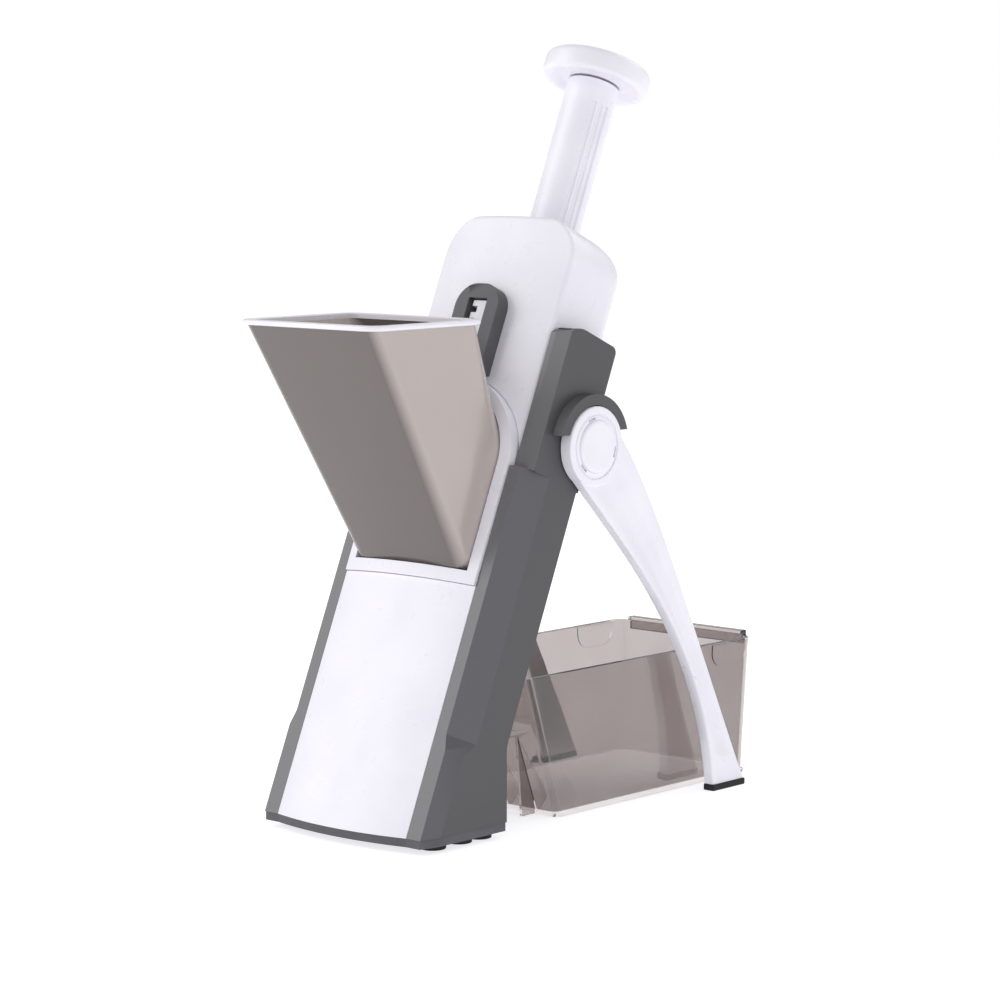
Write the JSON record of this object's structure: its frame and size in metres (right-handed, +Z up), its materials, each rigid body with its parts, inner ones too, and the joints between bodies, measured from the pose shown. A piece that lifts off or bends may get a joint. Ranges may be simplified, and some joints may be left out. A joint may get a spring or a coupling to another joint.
{
  "type": "mandoline slicer",
  "caption": "Upright hand slicer with a sprung push-down plunger and blade carriage, a feed hopper, folding rear legs and a clear catch bin.",
  "frame": {"origin": "on the surface that the slicer stands on, at the middle of its overall width and depth", "axes": "+Z up, +X to the right seen from the front, front towards -Y"},
  "size_m": [0.1466, 0.3426, 0.4467],
  "materials": {
    "white_abs": "moulded ABS, satin gloss",
    "dark_abs": "moulded ABS, fine matte texture",
    "grey_abs": "moulded ABS, satin",
    "inner_plastic": "moulded acetal, matte",
    "smoky_hopper": "translucent smoky styrene, glossy",
    "smoky_clear": "clear smoky styrene, glossy",
    "blade_steel": "ground stainless steel",
    "spring_steel": "drawn steel",
    "zinc_steel": "zinc-plated steel",
    "black_rubber": "moulded rubber, matte"
  },
  "bodies": {
    "stand": {"base_plate": "grey_abs", "foot_pads": "black_rubber", "front_panel": "white_abs", "throat_frame": "white_abs", "head_shell": "white_abs", "rear_cover": "white_abs", "inner_frame": "inner_plastic", "lower_back": "dark_abs", "right_rail": "dark_abs", "left_rail": "dark_abs", "outlet_chute": "dark_abs", "guide_bracket": "inner_plastic", "shaft_bushing": "inner_plastic", "guide_rods": "zinc_steel", "return_springs": "spring_steel", "lock_housing": "grey_abs", "cover_screws": "zinc_steel", "right_hinge_pin": "zinc_steel", "left_hinge_pin": "zinc_steel", "right_pin_clip": "spring_steel", "left_pin_clip": "spring_steel"},
    "plunger": {"push_knob": "white_abs", "plunger_tube": "white_abs", "blade_carriage": "inner_plastic", "slicing_blade": "blade_steel", "blade_screws": "zinc_steel"},
    "thickness_plate": {"thickness_plate": "inner_plastic"},
    "comb": {"comb_bar": "inner_plastic", "comb_blades": "blade_steel"},
    "thickness_dial": {"thickness_dial": "white_abs"},
    "strip_dial": {"strip_dial": "white_abs"},
    "right_leg": {"right_leg": "white_abs", "right_hub_cap": "white_abs", "right_leg_shoe": "black_rubber"},
    "left_leg": {"left_leg": "white_abs", "left_hub_cap": "white_abs", "left_leg_shoe": "black_rubber"},
    "hopper": {"hopper_funnel": "smoky_hopper", "hopper_rim": "white_abs", "hopper_neck": "smoky_hopper"},
    "bin": {"catch_bin": "smoky_clear", "bin_handle": "smoky_clear"},
    "lock_slider": {"lock_slider": "white_abs"}
  },
  "joints": [
    {"name": "plunger_press", "type": "slide", "parent": "stand", "child": "plunger", "axis": [0, -0.3955, -0.9184], "range_m": [0, 0.088], "stiffness_N_per_m": 200, "springref_m": -0.03, "deforming": ["return_springs"]},
    {"name": "thickness_dial_turn", "type": "hinge", "parent": "stand", "child": "thickness_dial", "pos_m": [-0.0638, -0.05768, 0.11783], "axis": [1, 0, 0], "range_deg": [0, 240]},
    {"name": "thickness_plate_slide", "type": "slide", "parent": "plunger", "child": "thickness_plate", "axis": [0, 0.9184, -0.3955], "range_m": [0, 0.008]},
    {"name": "strip_dial_turn", "type": "hinge", "parent": "stand", "child": "strip_dial", "pos_m": [-0.0638, -0.07034, 0.08844], "axis": [1, 0, 0], "range_deg": [0, 90]},
    {"name": "comb_slide", "type": "slide", "parent": "thickness_plate", "child": "comb", "axis": [0, -0.9184, 0.3955], "range_m": [0, 0.006]},
    {"name": "right_leg_fold", "type": "hinge", "parent": "stand", "child": "right_leg", "pos_m": [0.0679, -0.00646, 0.21706], "axis": [1, 0, 0], "range_deg": [-52, 0]},
    {"name": "left_leg_fold", "type": "hinge", "parent": "stand", "child": "left_leg", "pos_m": [-0.0679, -0.00646, 0.21706], "axis": [1, 0, 0], "range_deg": [-52, 0]},
    {"name": "hopper_lift", "type": "slide", "parent": "stand", "child": "hopper", "axis": [0, -0.9184, 0.3955], "range_m": [0, 0.06]},
    {"name": "bin_slide", "type": "slide", "parent": "stand", "child": "bin", "axis": [0, 1, 0], "range_m": [0, 0.25]},
    {"name": "lock_slide", "type": "slide", "parent": "stand", "child": "lock_slider", "axis": [0, -0.3955, -0.9184], "range_m": [0, 0.01]}
  ],
  "couplings": [
    {"joint": "thickness_dial_turn", "follows": "thickness_plate_slide", "rad_per_m": 523.6},
    {"joint": "strip_dial_turn", "follows": "comb_slide", "rad_per_m": 261.8}
  ]
}
